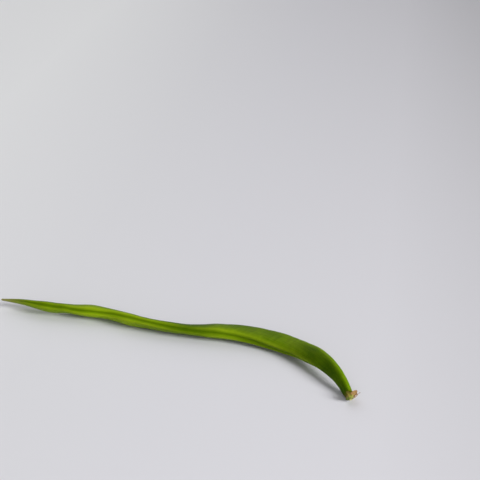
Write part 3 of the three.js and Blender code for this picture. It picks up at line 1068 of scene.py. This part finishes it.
# %% Finish of the stub
STUB_GREEN = (0.230, 0.270, 0.035)
STUB_LIGHT_GREEN = (0.320, 0.350, 0.070)
STUB_FIBRE = (0.420, 0.420, 0.160)
STUB_STRAW = (0.360, 0.330, 0.120)
STUB_BROWN = (0.260, 0.190, 0.060)
STUB_FIBRE_SHARE = 0.3
STUB_STRAW_SHARE = 0.8
STUB_BROWN_SHARE = 0.5
STUB_ROUGHNESS = (0.5, 0.75)


def stalk_finish():
    material, tree, skin = new_material(
        "stalk_flesh",
        Subsurface_Weight=0.1,
        Subsurface_Radius=(0.8, 1.0, 0.3),
        Subsurface_Scale=0.0008,
    )
    growth = attribute(tree, "growth", "Vector")
    patches = use(tree, PATCHES, Vector=growth, Size=1.2)
    fibres = use(tree, FIBRES, Vector=growth, Pitch=0.16, Length=1.6)
    colour = mix(tree, patches["Patches"], STUB_GREEN, STUB_LIGHT_GREEN)
    broken = times(tree, attribute(tree, "broken"), patches["Grain"])
    for mask, share, mark in (
        (fibres["Lines"], STUB_FIBRE_SHARE, STUB_FIBRE),
        (broken, STUB_STRAW_SHARE, STUB_STRAW),
        (attribute(tree, "rim"), STUB_BROWN_SHARE, STUB_BROWN),
    ):
        colour = mix(tree, scaled(tree, mask, 0, 1, 0, share), colour, mark)
    grain, height = patches["Grain"], fibres["Lines"]
    surface(tree, skin, colour, grain, STUB_ROUGHNESS, height, Strength=0.5, Distance=0.00008)
    return material


# %% [markdown]
# ## Finishes of the dry pieces
#
# The cup, the scales and the thread are dry, but they stay green where they grow from the stalk,
# and the worn lower front of the cup is a dull, darker green whose darkness is painted shade. They
# share one kind of finish: blotches and fibres over a pale and a dark colour, nearly matt, with an
# edge of its own colour. Each gets its own three colours.

# %% Finishes of the dry pieces
# Pale, dark and edge colours of each dry finish.
DRY_COLOURS = {
    "withered_cup": ((0.400, 0.262, 0.100), (0.240, 0.140, 0.036), (0.330, 0.175, 0.085)),
    "olive_scale": ((0.240, 0.200, 0.030), (0.130, 0.110, 0.012), (0.150, 0.090, 0.012)),
    "tan_scale": ((0.500, 0.320, 0.170), (0.330, 0.190, 0.080), (0.450, 0.260, 0.160)),
    "dry_thread": ((0.420, 0.260, 0.210), (0.260, 0.150, 0.110), (0.300, 0.250, 0.220)),
}
LIVING_GREEN = (0.270, 0.300, 0.050)
# Painted shade: the darker green of the cup's worn lower front.
SHADED_SIDE_GREEN = (0.120, 0.170, 0.020)
DRY_FIBRE_SHARE = 0.45
DRY_EDGE_SHARE = 0.6
DRY_EDGE_POWER = 3.0
DRY_ROUGHNESS = (0.65, 0.9)


def dry_finish(name):
    pale, dark, edge = DRY_COLOURS[name]
    material, tree, skin = new_material(name, Specular_IOR_Level=0.2)
    growth = attribute(tree, "growth", "Vector")
    patches = use(tree, PATCHES, Vector=growth, Size=1.5)
    fibres = use(tree, FIBRES, Vector=growth, Pitch=0.2, Length=1.8)
    colour = mix(tree, patches["Patches"], dark, pale)
    colour = mix(tree, scaled(tree, fibres["Lines"], 0, 1, 0, DRY_FIBRE_SHARE), colour, dark)
    rim = maths(tree, "POWER", attribute(tree, "rim"), DRY_EDGE_POWER)
    colour = mix(tree, scaled(tree, rim, 0, 1, 0, DRY_EDGE_SHARE), colour, edge)
    # The worn side's darker green is painted shade.
    living = mix(tree, attribute(tree, "worn_and_shaded"), LIVING_GREEN, SHADED_SIDE_GREEN)
    colour = mix(tree, attribute(tree, "alive"), colour, living)
    grain = patches["Grain"]
    height = plus(tree, fibres["Lines"], grain)
    surface(tree, skin, colour, grain, DRY_ROUGHNESS, height, Strength=0.5, Distance=0.0001)
    return material


STEM_END_PIECES = [
    (stalk, "pedicel_stub", "stalk_flesh", stalk_finish()),
    (cup, "calyx", "withered_cup", dry_finish("withered_cup")),
    (front_scale, "bracteole_front", "olive_scale", dry_finish("olive_scale")),
    (side_scale, "bracteole_side", "tan_scale", dry_finish("tan_scale")),
    (thread, "withered_filament", "dry_thread", dry_finish("dry_thread")),
]
for piece, node, slot, material in STEM_END_PIECES:
    piece.data.materials.append(material)
    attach(piece, "root")
    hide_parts(node)
    print(piece.name, "stands for", node)

# %% [markdown]
# ## Table
#
# The table is one wide pale sheet, so no edge shows behind the bean. Its colour fades a little from
# left to right and towards the back, and this fade is painted light and shade: paler at the far
# left, darker to the right and back. The fade is a colour ramp over the sheet's own place, so it
# stays on the table when the camera moves.

# %% Table
TABLE_HALF = 3.0
TABLE_ROUGHNESS = 0.6
# Painted light and shade of the table: its colours at distances in metres, measured to the right
# and a little to the back.
TABLE_PAINTED_FADE = [
    (-0.30, (0.870, 0.875, 0.890)), (-0.10, (0.750, 0.748, 0.782)), (0.00, (0.713, 0.708, 0.750)),
    (0.14, (0.672, 0.665, 0.706)), (0.24, (0.580, 0.574, 0.607)),
]
TABLE_BACK_SHARE = 0.3


def table_finish():
    material, tree, skin = new_material("table_sheet", Roughness=TABLE_ROUGHNESS)
    place = add(tree, "ShaderNodeTexCoord").outputs["Object"]
    parts = add(tree, "ShaderNodeSeparateXYZ", Vector=place)
    right_and_back = plus(tree, parts.outputs[0], times(tree, parts.outputs[1], TABLE_BACK_SHARE))
    start, end = TABLE_PAINTED_FADE[0][0], TABLE_PAINTED_FADE[-1][0]
    # The ramp paints light and shade: paler to the left, darker to the right and back.
    ramp = add(tree, "ShaderNodeValToRGB", Fac=scaled(tree, right_and_back, start, end, 0, 1))
    stops = ramp.color_ramp.elements
    for at, colour in TABLE_PAINTED_FADE[1:-1]:
        stops.new((at - start) / (end - start))
    for stop, (at, colour) in zip(stops, TABLE_PAINTED_FADE):
        stop.position = (at - start) / (end - start)
        stop.color = (*colour, 1)
    tree.links.new(ramp.outputs["Color"], skin.inputs["Base Color"])
    return material


def make_table():
    sides = [(-1, -1), (1, -1), (1, 1), (-1, 1)]
    corners = [(TABLE_HALF * x, TABLE_HALF * y, 0) for x, y in sides]
    mesh = bpy.data.meshes.new("table")
    mesh.from_pydata(corners, [], [(0, 1, 2, 3)])
    mesh.materials.append(table_finish())
    table = bpy.data.objects.new("table", mesh)
    bpy.context.scene.collection.objects.link(table)
    print("table measures", 2 * TABLE_HALF, "m each way")


make_table()

# %% [markdown]
# ## Light
#
# A soft key lamp stands low on the right: it lights the upper edge and throws the shadow to the
# left. Two wider and weaker lamps, one in front and one behind, soften the dark sides, and the
# world adds an even fill. The lamps are round, so their shadows have no corners.

# %% Light
LAMP_DISTANCE = 2.0
WORLD_STRENGTH = 0.10


def add_lamp(name, direction, size, strength):
    """A round lamp. Its direction is a turn from the back and a height, both in degrees."""
    data = bpy.data.lights.new(name, "AREA")
    data.shape = "DISK"
    data.size = size
    data.energy = strength
    lamp = bpy.data.objects.new(name, data)
    bpy.context.scene.collection.objects.link(lamp)
    turn, height = (math.radians(value) for value in direction)
    level, rise = math.cos(height), math.sin(height)
    towards = Vector((math.sin(turn) * level, math.cos(turn) * level, rise))
    set_facing(lamp, Vector(), towards, LAMP_DISTANCE)
    print(name, "lamp at", [round(value, 2) for value in lamp.location])


def light_world():
    world = bpy.data.worlds.new("studio")
    world.use_nodes = True
    background = world.node_tree.nodes["Background"].inputs
    background["Color"].default_value = (1, 1, 1, 1)
    background["Strength"].default_value = WORLD_STRENGTH
    bpy.context.scene.world = world


add_lamp("key", direction=(96, 29), size=0.85, strength=44)
add_lamp("front fill", direction=(160, 25), size=1.4, strength=7)
add_lamp("back fill", direction=(312, 45), size=2.6, strength=18)
light_world()
bpy.context.scene.view_settings.view_transform = "Standard"
